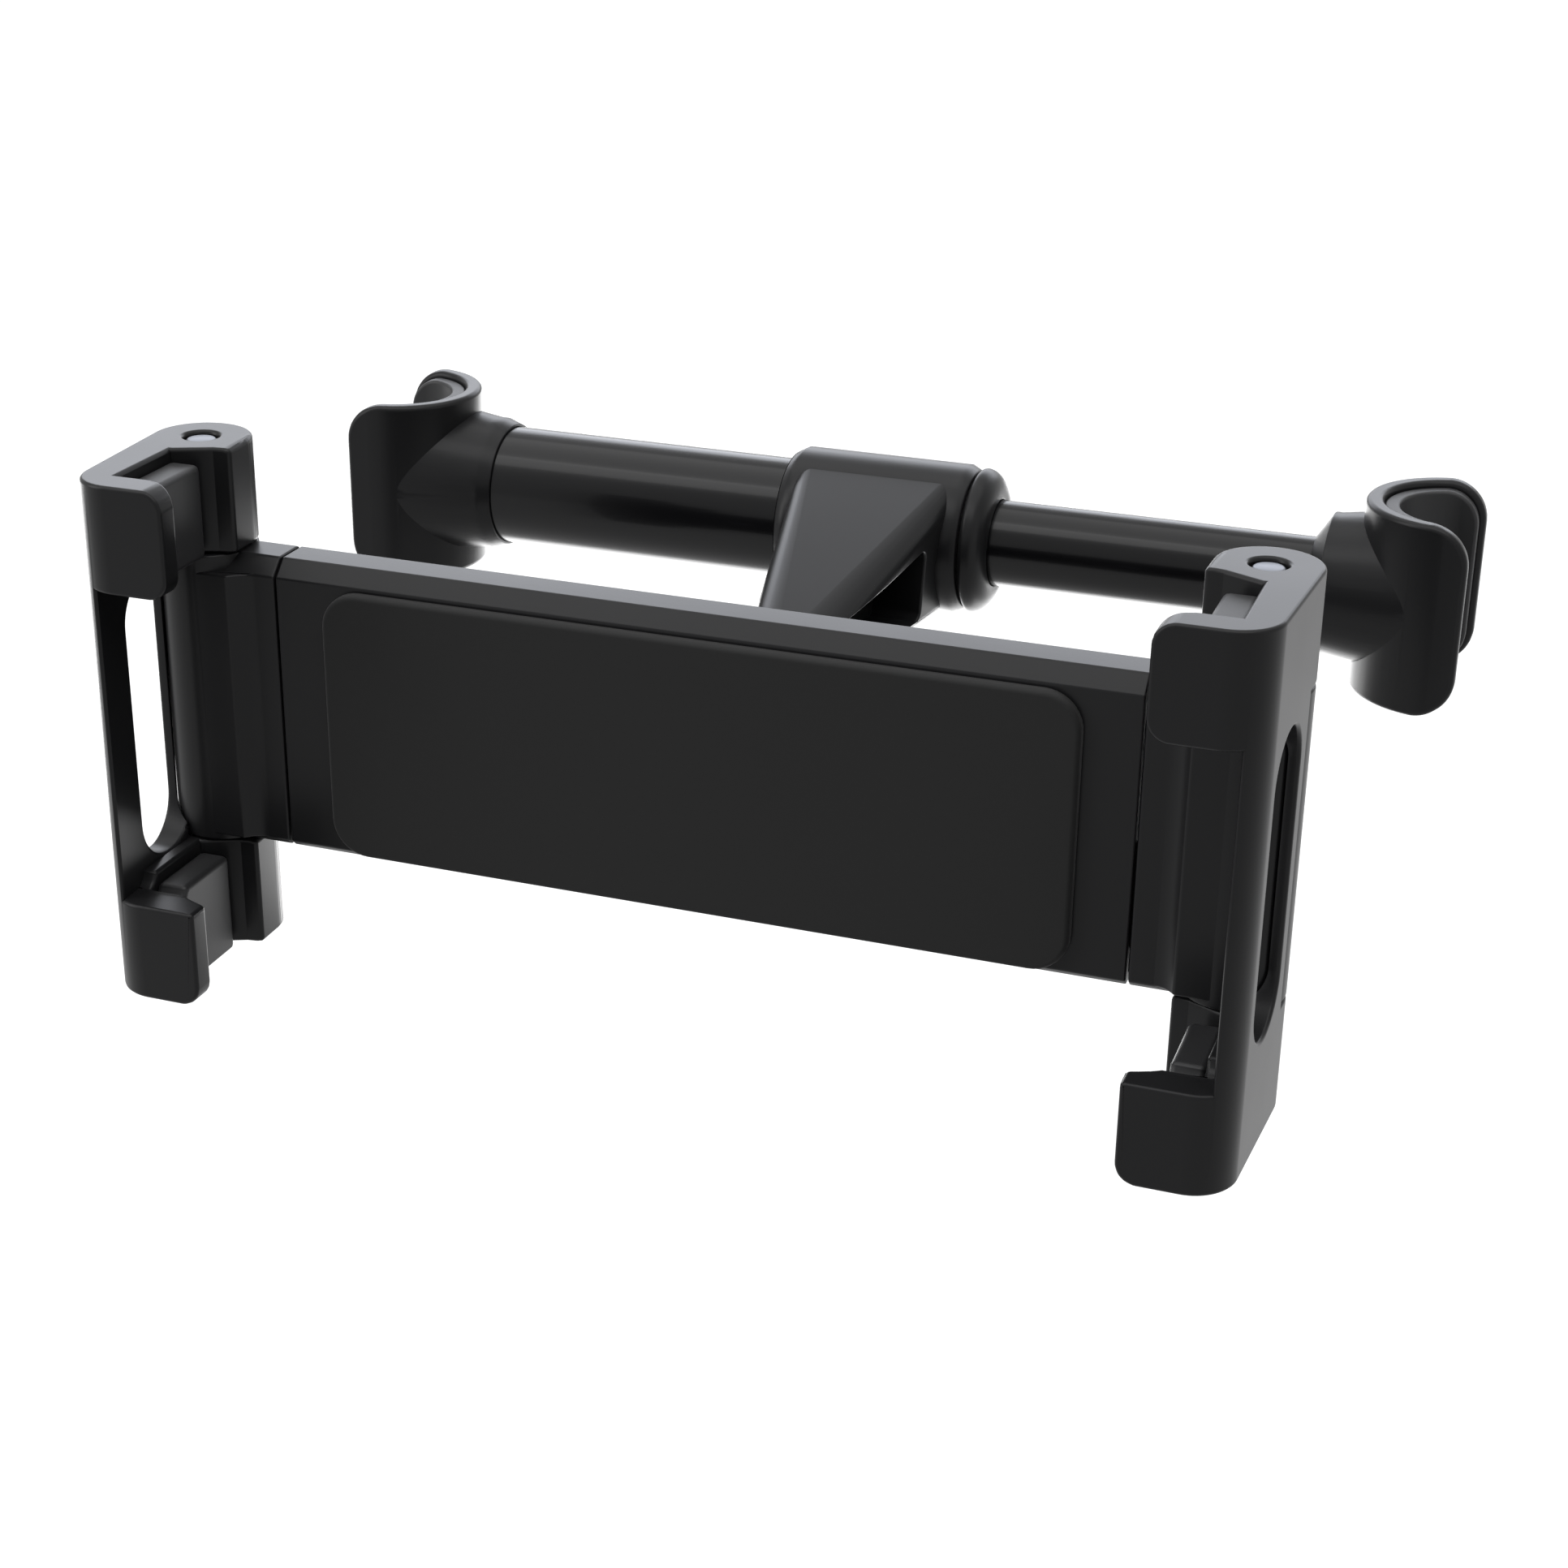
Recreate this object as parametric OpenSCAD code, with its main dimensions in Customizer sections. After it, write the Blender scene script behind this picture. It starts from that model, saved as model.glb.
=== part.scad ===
// Headrest tablet mount: a telescopic rail between the two headrest posts,
// a neck on that rail, a ball joint, and a sprung clamp with two folding jaws.
// Frame: X runs along the rail, +Y points away from the tablet to the headrest,
// +Z is up. The origin lies on the rail's axis, midway between the two posts.

/* [Rail and posts] */
// Distance between the centres of the two headrest posts
post_span = 167; // [156:1:180]
// Diameter of the headrest post that the saddles hold
post_d = 16; // [12:0.5:17]
// Outer diameter of the wide rail tube
tube_d = 18.4; // [17.6:0.2:19.6]
// Wall of the wide rail tube
tube_wall = 1.2; // [0.8:0.1:1.6]
// Room between the narrow rail tube and the wide tube's bore
rod_room = 1.5; // [1.2:0.1:2.2]
// Wall of the narrow rail tube
rod_wall = 1; // [0.8:0.1:1.5]
// Length of narrow tube inside the wide one
rod_overlap = 48; // [44:1:49]
// Length of the guide bush on the narrow tube's inner end
guide_len = 10; // [6:1:14]

/* [Saddles] */
// Height of a saddle along its post
saddle_h = 28.4; // [25:0.2:34]
// Wall of the rigid saddle
saddle_wall = 2.6; // [2.2:0.1:3.4]
// Thickness of the rubber liner
liner_t = 2.3; // [1.8:0.1:3]
// How far the saddle's lips pass the post's centre
lip_reach = 3.2; // [2:0.2:7]
// Corner radius of the lips
lip_corner = 6; // [3:0.5:8]
// Wall of the saddle's socket at its mouth
socket_wall = 1.2; // [0.9:0.1:2]
// Length of socket in front of the saddle's round back
socket_len = 6.6; // [5:0.2:9]
// Length of the bevel at the socket's mouth
socket_bevel = 2.2; // [0.8:0.1:3]

/* [Neck] */
// Distance from the rail's axis to the jaws' hinge pins
reach = 82.6; // [76:1:96]
// Length of the collar on the rail
collar_len = 28.8; // [24:0.4:34]
// Wall of the collar outside its friction sleeve
collar_wall = 1.25; // [1:0.05:2.6]
// Length of the bevels at the collar's ends
collar_bevel = 1.6; // [0.8:0.1:2]
// Thickness of the friction sleeve between the collar and the rail
sleeve_t = 0.8; // [0.6:0.1:1]
// Step from the collar's ends in to the neck's sides
neck_step = 1.6; // [0.8:0.1:3]
// Diameter of the neck's front end
neck_tip_w = 12; // [11:0.5:14]
// Rounding of the neck's long edges
neck_round = 2.6; // [1.5:0.1:3.2]
// Thickness of the neck's top flange above the back of its side pockets
neck_flange = 4.8; // [3.6:0.1:6]
// Gap from the collar to the neck's side pockets
pocket_gap = 4.2; // [2:0.2:6]
// Thickness of the web between the neck's side pockets
neck_web = 3; // [2:0.5:6]

/* [Ball joint] */
// Diameter of the ball
ball_d = 16; // [15:0.2:17]
// Diameter of the ball's stem
stem_d = 6.4; // [5.6:0.2:6.6]
// Clear length of stem between the ball's centre and the neck
stem_len = 13; // [12.5:0.5:18]
// Thickness of the liner in front of the ball
ball_liner_t = 0.9; // [0.6:0.1:1.2]
// Wall of the threaded socket round the ball
cup_wall = 2; // [1.6:0.1:2.6]
// Wall of the lock nut
nut_wall = 2.2; // [1.8:0.1:3]
// Number of grip flutes round the lock nut
nut_flutes = 18; // [12:1:24]

/* [Clamp] */
// Length of the clamp's centre body
body_len = 115.2; // [106:0.4:122]
// Distance from the body's end to the hinge pin with the clamp closed
end_len = 12.4; // [11.6:0.2:16]
// Height of the clamp's bar
bar_h = 40.6; // [38:0.2:48]
// Thickness of the clamp's bar
bar_t = 9.4; // [9:0.2:12]
// Height of the bar's centre above the rail's axis
bar_mid_z = -5.3; // [-12:0.1:4]
// Bevel along the top edges of the bar
bar_bevel = 2.2; // [1:0.1:2.8]
// Bevel along the bottom edges of the bar
bar_foot_bevel = 0.9; // [0.4:0.1:1.6]
// Wall of the two body shells
shell_wall = 1.6; // [1.2:0.1:2]
// How far each jaw slides out
slide_travel = 35; // [25:1:40]
// Height of a slide's tongue
tongue_h = 12; // [10:0.5:13]
// Thickness of a slide's tongue
tongue_t = 5; // [4:0.1:5.6]
// Gap from the tongue's inner end to the body's far end
tongue_room = 17.2; // [12:0.2:24]
// Outer diameter of the return springs
spring_d = 3.4; // [2.6:0.1:3.8]
// Wire of the return springs
spring_wire = 0.5; // [0.4:0.05:0.6]
// Gap from the body's end to the soft face pad
pad_margin = 7.1; // [4:0.1:12]
// Gap from the bar's top down to the face pad
pad_drop = 2.7; // [2.4:0.1:6]
// How far the face pad stands proud
pad_t = 1.5; // [1:0.1:2.2]
// Corner radius of the face pad
pad_corner = 5; // [2:0.5:8]

/* [Jaws] */
// Radius of the hinge knuckles and the barrel
knuckle_r = 6.6; // [6:0.1:7.4]
// Height of the upper hook
upper_h = 14.2; // [11:0.2:18]
// Height of the lower hook
lower_h = 15.6; // [12:0.2:20]
// Clear depth of a jaw's channel, front to back
channel_d = 13.2; // [10:0.2:18]
// Thickness of the hook's front lip
lip_t = 4.9; // [3.6:0.1:6]
// Distance from the pin to the inner tip of the lip
lip_tip = 8.4; // [6:0.2:11]
// How much thinner the lip is at its tip
lip_lead = 1.5; // [0.5:0.1:2.4]
// How far the lower lip's top lies below its knuckle
lip_drop = 2; // [0:0.2:3]
// Thickness of a hook's outer wall at the knuckle
hook_side_t = 6; // [5:0.1:6.4]
// Thickness of the side plate at its front
plate_t = 2.6; // [2.2:0.1:3.2]
// Taper of the side plate's outer face towards the front
plate_draft = 1.6; // [0.8:0.1:2]
// Width of the slot through the side plate
slot_w = 12.2; // [9:0.2:12.4]
// Width of plate left in front of the slot
slot_margin = 7.1; // [6.5:0.1:9]
// Length of the slot through the side plate
slot_len = 39.6; // [30:0.2:39.8]
// Thickness of the soft blocks in the hooks
block_t = 4.4; // [2.5:0.1:5]
// Depth of the soft blocks below the hook's rim
block_drop = 1.6; // [0.5:0.1:3]
// Diameter of the hinge pins
pin_d = 4; // [3:0.1:5]
// Depth of the pin heads below the knuckles
pin_drop = 0.4; // [0.2:0.1:1]
// Depth of the recesses round the pin heads
pin_recess = 1.2; // [0.8:0.1:2]

/* [Fits] */
// Radial clearance of a turning or sliding fit
run_gap = 0.05; // [0.03:0.01:0.09]
// Gap between faces that move past each other
face_gap = 0.2; // [0.15:0.05:0.3]
// Width of the visible seam at the ends of the body
seam_gap = 0.3; // [0.2:0.05:0.5]

/* [Hidden] */
$fn = 64;
eps = 0.01;

// Colours of the finishes
satin_black = [0.13, 0.13, 0.14];
gloss_black = [0.05, 0.05, 0.06];
soft_black = [0.17, 0.17, 0.17];
steel = [0.6, 0.61, 0.63];

// Saddle, counted from the post's centre
post_x = post_span / 2;
liner_bore_r = post_d / 2 + 0.1;
seat_r = liner_bore_r + liner_t;
saddle_r = seat_r + saddle_wall;
socket_end_x = post_x - saddle_r - socket_len;
tube_seat_x = post_x - seat_r - saddle_wall / 2;
socket_r = tube_d / 2 + socket_wall;
socket_root_r = saddle_r - 0.2;
socket_rim = 0.4;
socket_land = 1;

// Rail
far = 2 * post_span;
tube_r = tube_d / 2;
collar_d = tube_d + 2 * (run_gap + sleeve_t + collar_wall);
neck_root_w = collar_len - 2 * neck_step;
rod_guide_r = tube_r - tube_wall;
rod_r = rod_guide_r - rod_room;
collar_mid_x = -1.8;
collar_rim = 0.4;
neck_root_in = 7;
neck_top_drop = 1.2;
neck_foot_drop = 0.6;
neck_foot_step = 1;
neck_tip_len = 8;
neck_tip_bevel = 0.8;
stem_thin = 1;
pocket_round = 1.4;
pocket_low = 3;
pocket_tip_h = 5.6;
pocket_tip_z = 5.2;
collar_right_x = collar_mid_x + collar_len / 2;
ring_x0 = collar_right_x + face_gap;
ring_len = 3.6;
ring_r = collar_d / 2 - 0.3;
ring_edge = 0.5;
ring_lip = 0.7;
ring_face = 1.4;
ring_plug = 9;
tube_end_x = ring_x0 + ring_len - ring_face;
rod_inner_x = tube_end_x - rod_overlap;

// Ball joint, in the clamp's own frame: Y = 0 on the hinge pins
ball_r = ball_d / 2;
cup_in_r = ball_r + ball_liner_t + 2 * run_gap;
cup_out_r = cup_in_r + cup_wall;
ball_y = bar_t / 2 + cup_in_r;
cup_end = 1.6;
nut_in_r = cup_out_r + run_gap;
nut_out_r = nut_in_r + nut_wall;
nut_front_y = bar_t / 2 + 1.4;
nut_back_y = ball_y + ball_r * 0.86;
neck_tip_y = ball_y + stem_len;

// Clamp
half_body = body_len / 2;
half_span = half_body + end_len;
half_bar = bar_h / 2;
cavity_t = bar_t - 2 * shell_wall;
tongue_z = bar_h / 4 - 0.6;
tongue_len = body_len - tongue_room;
pad_w = body_len - 2 * pad_margin;
pad_h = bar_h - bar_foot_bevel - pad_drop;
cover_edge = half_bar - bar_bevel - 1.1;
pad_mid_z = -half_bar + bar_foot_bevel + pad_h / 2;
screw_r = 1.25;
boss_r = 2.6;
screw_head_r = 2.2;
screw_head_t = 0.8;
screw_sink = 0.9;
screw_len = 5.4;
screw_edge = 11.6;
screw_step = 22;
drive_w = 0.7;
drive_len = 2.6;
drive_depth = 0.5;
screw_x = [for (s = [-1, 1]) for (i = [0, 1]) s * (half_body - screw_edge - i * screw_step)];
spring_out_x = half_body - 12;
spring_in_x = half_body - 5;
anchor_r = 1.1;
stop_x = 20;
cove = 4;
barrel_drop = 0.2;
spring_room = 1;
tongue_root = 3;
stop_z = tongue_z + 4.1;
stop_slot_r = anchor_r + 2 * run_gap;
rib_len = 10;
rib_t = 1.2;
rib_x = half_body * 0.6;

// Jaw, counted from its own pin: U points outwards, V forwards to the tablet
channel_v0 = knuckle_r - 0.4;
channel_v1 = channel_v0 + channel_d;
jaw_front_v = channel_v1 + lip_t;
hook_in_u = knuckle_r - hook_side_t;
plate_in_u = knuckle_r - plate_draft - plate_t;
corner_r = 6;
tip_round = 2.8;
rim_run = 1.5;
rim_curve = 2.5;
hinge_top = half_bar + face_gap + upper_h;
hinge_low = -half_bar - face_gap - lower_h;
slot_mid_v = jaw_front_v - slot_margin - slot_w / 2;
slot_mid_z = -0.6;

// Rail and saddles

module tube_x(x0, x1, r) {
    translate([x0, 0, 0]) rotate([0, 90, 0]) cylinder(h = x1 - x0, r = r);
}

module large_tube() {
    color(gloss_black) difference() {
        tube_x(-tube_seat_x, tube_end_x, tube_r);
        tube_x(-tube_seat_x - 1, tube_end_x + 1, rod_guide_r);
    }
}

module small_tube() {
    color(gloss_black) difference() {
        tube_x(rod_inner_x, tube_seat_x, rod_r);
        tube_x(rod_inner_x - 1, tube_seat_x + 1, rod_r - rod_wall);
    }
}

// Plan of the saddle round the post, open to +X, with straight lips
module saddle_plan(r, reach_x) {
    circle(r = r);
    translate([0, -r]) square([reach_x, 2 * r]);
}

// Side outline that rounds the lips' corners
module lip_outline(h, reach_x, corner) {
    translate([-far, -h / 2]) square([far + reach_x - corner, h]);
    translate([-far, -h / 2 + corner]) square([far + reach_x, h - 2 * corner]);
    for (s = [-1, 1]) translate([reach_x - corner, s * (h / 2 - corner)]) circle(r = corner);
}

module lip_cut(h, reach_x, corner) {
    rotate([90, 0, 0]) linear_extrude(far, center = true) lip_outline(h, reach_x, corner);
}

// A saddle at the right-hand post with the bore for a rail tube of radius r
module hook(r) {
    difference() {
        union() {
            intersection() {
                translate([post_x, 0, -saddle_h / 2])
                    linear_extrude(saddle_h) saddle_plan(saddle_r, lip_reach);
                translate([post_x, 0, 0]) lip_cut(saddle_h, lip_reach, lip_corner);
            }
            translate([socket_end_x, 0, 0]) rotate([0, 90, 0]) rotate_extrude() polygon([
                [0, 0], [r + socket_rim, 0], [socket_r, socket_bevel],
                [socket_r, socket_bevel + socket_land], [socket_root_r, post_x - socket_end_x],
                [0, post_x - socket_end_x]]);
        }
        translate([post_x, 0, -saddle_h]) linear_extrude(2 * saddle_h) saddle_plan(seat_r, far);
        tube_x(socket_end_x - 1, tube_seat_x, r);
    }
}

module liner() {
    rim = 0.9;
    intersection() {
        translate([post_x, 0, -saddle_h / 2 + rim]) linear_extrude(saddle_h - 2 * rim) difference() {
            saddle_plan(seat_r, lip_reach - rim);
            saddle_plan(liner_bore_r, far);
        }
        translate([post_x, 0, 0]) lip_cut(saddle_h - 2 * rim, lip_reach - rim, lip_corner - rim);
    }
}

module left_hook() {
    color(satin_black) mirror([1, 0, 0]) hook(tube_r);
}

module left_liner() {
    color(soft_black) mirror([1, 0, 0]) liner();
}

module right_hook() {
    color(satin_black) hook(rod_r);
}

module right_liner() {
    color(soft_black) liner();
}

// Domed ring that closes the wide tube's end, with a plug that guides the narrow tube
module end_ring() {
    bore_r = rod_r + run_gap;
    lip_r = bore_r + ring_lip;
    dome = [for (a = [0:10:90]) [
        lip_r + (ring_r - lip_r) * cos(a), ring_x0 + ring_edge + (ring_len - ring_edge) * sin(a)]];
    color(satin_black) rotate([0, 90, 0]) rotate_extrude() polygon(concat(
        [[bore_r, tube_end_x - ring_plug], [rod_guide_r, tube_end_x - ring_plug],
         [rod_guide_r, tube_end_x], [tube_r, tube_end_x], [tube_r, ring_x0],
         [ring_r - ring_edge, ring_x0]],
        dome, [[bore_r, ring_x0 + ring_len]]));
}

// Bush on the narrow tube's inner end, which runs in the wide tube
module guide_bush() {
    lip = 1.2;
    color(soft_black) rotate([0, 90, 0]) rotate_extrude() polygon([
        [rod_r - rod_wall, rod_inner_x - lip], [rod_guide_r - run_gap, rod_inner_x - lip],
        [rod_guide_r - run_gap, rod_inner_x + guide_len], [rod_r, rod_inner_x + guide_len],
        [rod_r, rod_inner_x], [rod_r - rod_wall, rod_inner_x]]);
}

// Neck

function neck_y(local_y) = local_y - reach;

// Height of the arm's top face at a distance along Y
function neck_top_z(y) =
    let (y0 = -collar_d / 2 + neck_root_in, z0 = collar_d / 2 - neck_top_drop,
         y1 = neck_y(neck_tip_y) + neck_tip_len, z1 = bar_mid_z + neck_tip_w / 2)
    z0 + (z1 - z0) * (y - y0) / (y1 - y0);

module collar_body() {
    end_r = tube_r + run_gap + sleeve_t + collar_rim;
    translate([collar_mid_x - collar_len / 2, 0, 0]) rotate([0, 90, 0]) rotate_extrude()
        polygon([
            [0, 0], [end_r, 0], [collar_d / 2, collar_bevel],
            [collar_d / 2, collar_len - collar_bevel], [end_r, collar_len], [0, collar_len]]);
}

// The tapering arm: a hull from four rounded root corners to a round front end
module neck_arm() {
    root_y = -collar_d / 2 + neck_root_in;
    root_top = collar_d / 2 - neck_top_drop - neck_round;
    root_low = -collar_d / 2 + neck_foot_drop + neck_round;
    hull() {
        for (s = [-1, 1]) {
            translate([collar_mid_x + s * (neck_root_w / 2 - neck_round), root_y, root_top])
                sphere(r = neck_round, $fn = 32);
            translate([collar_mid_x + s * (neck_root_w / 2 - neck_round - neck_foot_step), root_y, root_low])
                sphere(r = neck_round, $fn = 32);
        }
        translate([0, neck_y(neck_tip_y), bar_mid_z]) rotate([-90, 0, 0])
            cylinder(h = neck_tip_len, d1 = neck_tip_w - 2 * neck_tip_bevel, d2 = neck_tip_w, $fn = 32);
    }
}

// Triangular pocket in one side of the neck, seen along X
module neck_pocket_outline() {
    back_y = -collar_d / 2 - pocket_gap;
    front_y = neck_y(neck_tip_y) + neck_tip_len + 3;
    top_z = bar_mid_z + pocket_tip_z;
    offset(r = pocket_round, $fn = 24) offset(delta = -pocket_round) polygon([
        [back_y, neck_top_z(back_y) - neck_flange], [back_y, -collar_d / 2 + pocket_low],
        [front_y, top_z - pocket_tip_h], [front_y, top_z]]);
}

module neck() {
    color(satin_black) difference() {
        union() {
            collar_body();
            neck_arm();
        }
        tube_x(-collar_len, collar_len, tube_r + run_gap + sleeve_t);
        for (s = [-1, 1]) translate([s * neck_web / 2 + (s > 0 ? 0 : -collar_len), 0, 0])
            rotate([90, 0, 90]) linear_extrude(collar_len) neck_pocket_outline();
        translate([0, neck_y(neck_tip_y) - 1, bar_mid_z]) rotate([-90, 0, 0])
            cylinder(h = neck_tip_len + 1, r = stem_d / 2 - stem_thin);
    }
}

module collar_sleeve() {
    color(soft_black) difference() {
        tube_x(collar_mid_x - collar_len / 2, collar_right_x, tube_r + run_gap + sleeve_t);
        tube_x(collar_mid_x - collar_len, collar_right_x + 1, tube_r + run_gap);
    }
}

// Ball joint

module at_ball() {
    translate([0, neck_y(ball_y), bar_mid_z]) children();
}

module ball_stud() {
    color(steel) at_ball() {
        sphere(r = ball_r);
        rotate([-90, 0, 0]) cylinder(h = stem_len, r = stem_d / 2);
        rotate([-90, 0, 0]) cylinder(h = stem_len + neck_tip_len, r = stem_d / 2 - stem_thin);
    }
}

// Thin cap between the ball and its socket
module ball_liner() {
    color(soft_black) at_ball() intersection() {
        difference() {
            sphere(r = ball_r + run_gap + ball_liner_t);
            sphere(r = ball_r + run_gap);
        }
        rotate([90, 0, 0]) translate([0, 0, ball_r * 0.3]) cylinder(h = ball_r * 2, r = ball_r * 2);
    }
}

module lock_nut() {
    color(satin_black) translate([0, neck_y(0), bar_mid_z]) difference() {
        rotate([-90, 0, 0]) translate([0, 0, nut_front_y]) rotate_extrude() polygon([
            [0, 0], [nut_out_r - 0.8, 0], [nut_out_r, 0.8],
            [nut_out_r, nut_back_y - nut_front_y - 2.6],
            [nut_out_r - 2.6, nut_back_y - nut_front_y], [0, nut_back_y - nut_front_y]]);
        rotate([-90, 0, 0]) translate([0, 0, nut_front_y - 1])
            cylinder(h = ball_y + cup_end + face_gap - nut_front_y + 1, r = nut_in_r);
        translate([0, ball_y, 0]) sphere(r = ball_r + run_gap);
        translate([0, ball_y, 0]) rotate([-90, 0, 0])
            cylinder(h = ball_r, r1 = 0, r2 = ball_r * 1.04);
        for (i = [0:nut_flutes - 1]) rotate([0, i * 360 / nut_flutes, 0])
            translate([nut_out_r + 0.5, nut_front_y - 1, 0]) rotate([-90, 0, 0])
                cylinder(h = nut_back_y, r = 1, $fn = 16);
    }
}

// Clamp body, in its own frame: X along the bar, Y = 0 on the hinge pins, Z = 0 mid-height

module at_clamp() {
    translate([0, -reach, bar_mid_z]) children();
}

// Section of the bar in the YZ plane
module bar_section(inset) {
    t = bar_t / 2 - inset;
    h = half_bar - inset;
    b = bar_bevel - inset * 0.59;
    f = max(bar_foot_bevel - inset * 0.59, 0.05);
    polygon([
        [-t, h - b], [-t + b, h], [t - b, h], [t, h - b],
        [t, -h + f], [t - f, -h], [-t + f, -h], [-t, -h + f]]);
}

module extrude_x(x0, x1) {
    translate([x0, 0, 0]) rotate([90, 0, 90]) linear_extrude(x1 - x0) children();
}

module front_shell() {
    color(satin_black) at_clamp() {
        difference() {
            extrude_x(-half_body, half_body) bar_section(0);
            extrude_x(-half_body - 1, half_body + 1) bar_section(shell_wall);
            translate([-half_body - 1, 0, -cover_edge]) cube([body_len + 2, bar_t, 2 * cover_edge]);
        }
        for (x = screw_x) translate([x, 0, 0]) screw_boss();
    }
}

// Boss on the front wall that takes a cover screw
module screw_boss() {
    rotate([90, 0, 0]) translate([0, 0, -bar_t / 2 + shell_wall]) difference() {
        cylinder(h = cavity_t + eps, r = boss_r);
        translate([0, 0, -1]) cylinder(h = cavity_t, r = screw_r);
    }
}

module rear_cover() {
    plate_y = bar_t / 2 - shell_wall;
    color(satin_black) at_clamp() difference() {
        union() {
            translate([-half_body, plate_y, -cover_edge + face_gap / 2])
                cube([body_len, shell_wall, 2 * cover_edge - face_gap]);
            rotate([-90, 0, 0]) translate([0, 0, plate_y])
                cylinder(h = ball_y + cup_end - plate_y, r = cup_out_r);
            for (s = [-1, 1]) cover_post(s * spring_in_x, s * tongue_z);
            for (s = [-1, 1]) cover_post(-s * stop_x, s * stop_z);
            for (s = [-1, 1]) for (x = [-rib_x, rib_x]) guide_rib(x, s);
        }
        translate([0, ball_y, 0]) sphere(r = cup_in_r);
        translate([0, ball_y, 0]) rotate([-90, 0, 0]) cylinder(h = ball_r, r = cup_in_r);
        for (x = screw_x) translate([x, plate_y - 1, 0]) rotate([-90, 0, 0])
            cylinder(h = shell_wall + 2, r = screw_r);
        for (x = screw_x) translate([x, bar_t / 2 - screw_sink, 0]) rotate([-90, 0, 0])
            cylinder(h = 2 * screw_sink, r = screw_head_r);
    }
}

// Post inside the cover: a return spring hooks on it, or it runs in a stop slot
module cover_post(x, z) {
    translate([x, bar_t / 2 - shell_wall - cavity_t + face_gap, z]) rotate([-90, 0, 0])
        cylinder(h = cavity_t, r = anchor_r);
}

// Rib between the two tongues that keeps each in its lane
module guide_rib(x, s) {
    lane = tongue_z - tongue_h / 2 - face_gap;
    translate([x - rib_len / 2, bar_t / 2 - shell_wall - cavity_t + face_gap, s > 0 ? lane - rib_t : -lane])
        cube([rib_len, cavity_t, rib_t]);
}

// Screw with a flat head and a cross recess, its head's face at Z = 0 and its shank along +Z
module cover_screw() {
    difference() {
        union() {
            cylinder(h = screw_head_t, r = screw_head_r - run_gap * 2);
            cylinder(h = screw_head_t / 2 + screw_len, r = screw_r - eps);
        }
        for (a = [0, 90]) rotate([0, 0, a]) translate([-drive_len / 2, -drive_w / 2, -1])
            cube([drive_len, drive_w, drive_depth + 1]);
    }
}

// Four cover screws, seated in the rear cover
module cover_screws() {
    color(steel) at_clamp() for (x = screw_x)
        translate([x, bar_t / 2 - screw_sink + screw_head_t, 0]) rotate([90, 0, 0]) cover_screw();
}

module rounded_square(w, h, r) {
    hull() for (x = [-1, 1]) for (y = [-1, 1])
        translate([x * (w / 2 - r), y * (h / 2 - r)]) circle(r = r, $fn = 48);
}

// Soft pad on the front wall, with a beveled rim
module face_pad() {
    rim = 0.6;
    color(soft_black) at_clamp() translate([0, -bar_t / 2, pad_mid_z]) rotate([90, 0, 0]) hull() {
        linear_extrude(pad_t - rim) rounded_square(pad_w, pad_h, pad_corner);
        linear_extrude(pad_t) rounded_square(pad_w - 2 * rim, pad_h - 2 * rim, pad_corner - rim);
    }
}

// Slides, modelled on the right-hand side

// Section that the end block ends in: the hinge barrel with coves to the bar's faces
module barrel_plan() {
    flat_x = half_span - knuckle_r - cove + 1.2;
    step_y = knuckle_r - barrel_drop - bar_t / 2;
    difference() {
        union() {
            translate([half_span, 0]) circle(r = knuckle_r);
            translate([half_body + seam_gap, -bar_t / 2])
                square([half_span - half_body - seam_gap, bar_t]);
            for (s = [-1, 1]) translate([flat_x, s > 0 ? bar_t / 2 - eps : -bar_t / 2 - step_y])
                square([half_span - flat_x, step_y + eps]);
        }
        for (s = [-1, 1]) translate([flat_x, s * (bar_t / 2 + cove)]) circle(r = cove);
    }
}

module slide_tongue(lane) {
    in_x = half_body - tongue_len;
    y0 = -bar_t / 2 + shell_wall + face_gap;
    difference() {
        translate([in_x, y0, lane * tongue_z - tongue_h / 2])
            cube([tongue_len + seam_gap + tongue_root, tongue_t, tongue_h]);
        translate([
            in_x - 1, y0 + tongue_t - spring_d - spring_room / 2,
            lane * tongue_z - (spring_d + spring_room) / 2])
            cube([spring_out_x + anchor_r + spring_room - in_x + 1, spring_d + 2, spring_d + spring_room]);
        hull() for (x = [stop_x - slide_travel, stop_x])
            translate([x, y0 - 1, lane * stop_z]) rotate([-90, 0, 0])
                cylinder(h = tongue_t + 2, r = stop_slot_r);
    }
    translate([spring_out_x, y0 + eps, lane * tongue_z]) rotate([-90, 0, 0])
        cylinder(h = tongue_t - 0.2, r = anchor_r);
}

// Lane is 1 for the upper half of the body and -1 for the lower
module slide(lane) {
    at_clamp() difference() {
        union() {
            intersection() {
                translate([0, 0, -half_bar]) linear_extrude(bar_h) barrel_plan();
                union() {
                    extrude_x(half_body, half_span) bar_section(0);
                    translate([half_span, 0, -half_bar]) cylinder(h = bar_h, r = knuckle_r);
                    translate([half_span - knuckle_r - 3, -knuckle_r, -half_bar + bar_foot_bevel])
                        cube([knuckle_r + 3, 2 * knuckle_r, bar_h - bar_bevel - bar_foot_bevel]);
                }
            }
            slide_tongue(lane);
        }
        translate([half_span, 0, -half_bar - 1]) cylinder(h = bar_h + 2, r = pin_d / 2);
    }
}

module left_slide() {
    color(satin_black) mirror([1, 0, 0]) slide(1);
}

module right_slide() {
    color(satin_black) slide(-1);
}

// Hinge pin, with its head sunk in the upper knuckle
module pin() {
    at_clamp() translate([half_span, 0, hinge_low + pin_drop])
        cylinder(h = hinge_top - hinge_low - 2 * pin_drop, r = pin_d / 2);
}

module left_pin() {
    color(steel) mirror([1, 0, 0]) pin();
}

module right_pin() {
    color(steel) pin();
}

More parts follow.
